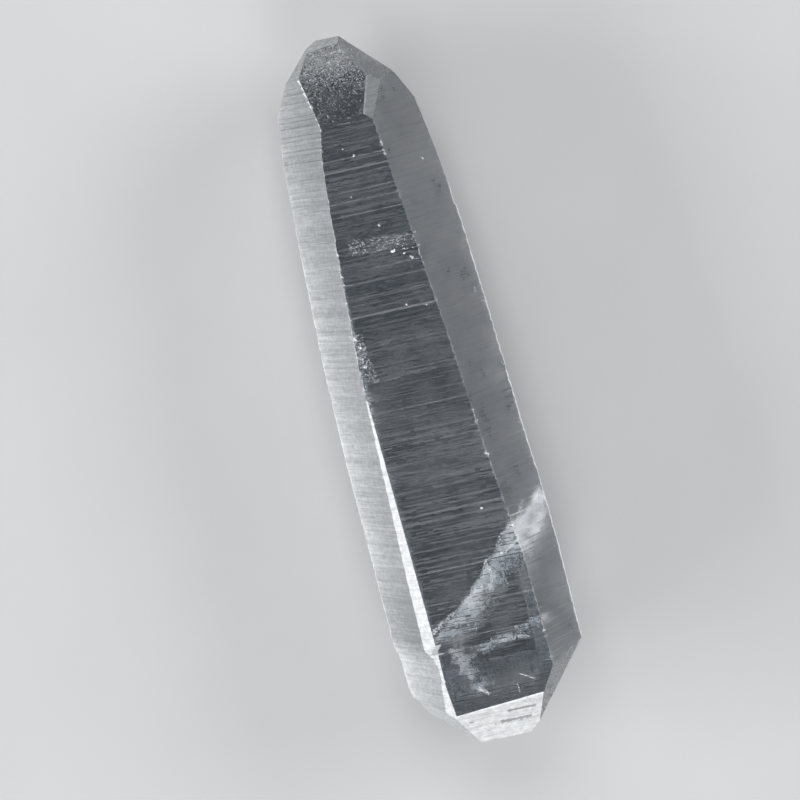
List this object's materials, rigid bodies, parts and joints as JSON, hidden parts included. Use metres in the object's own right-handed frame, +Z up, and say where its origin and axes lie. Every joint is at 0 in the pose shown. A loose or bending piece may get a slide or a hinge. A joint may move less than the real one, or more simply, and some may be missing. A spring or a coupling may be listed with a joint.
{
  "type": "lemurian quartz crystal",
  "caption": "Long clear quartz crystal with six growth-lined sides and faceted ends, lying flat on one side face.",
  "frame": {"origin": "middle of the bounding box in X and Y, on the surface that the crystal rests on", "axes": "+Y along the crystal towards its tip, +Z up out of the front window face, +X to the right of that face"},
  "size_m": [0.027, 0.0986, 0.0192],
  "materials": {
    "quartz": "clear inside, with a satin growth-lined surface and a milky foot"
  },
  "bodies": {
    "root": {"crystal": "quartz"}
  },
  "joints": []
}
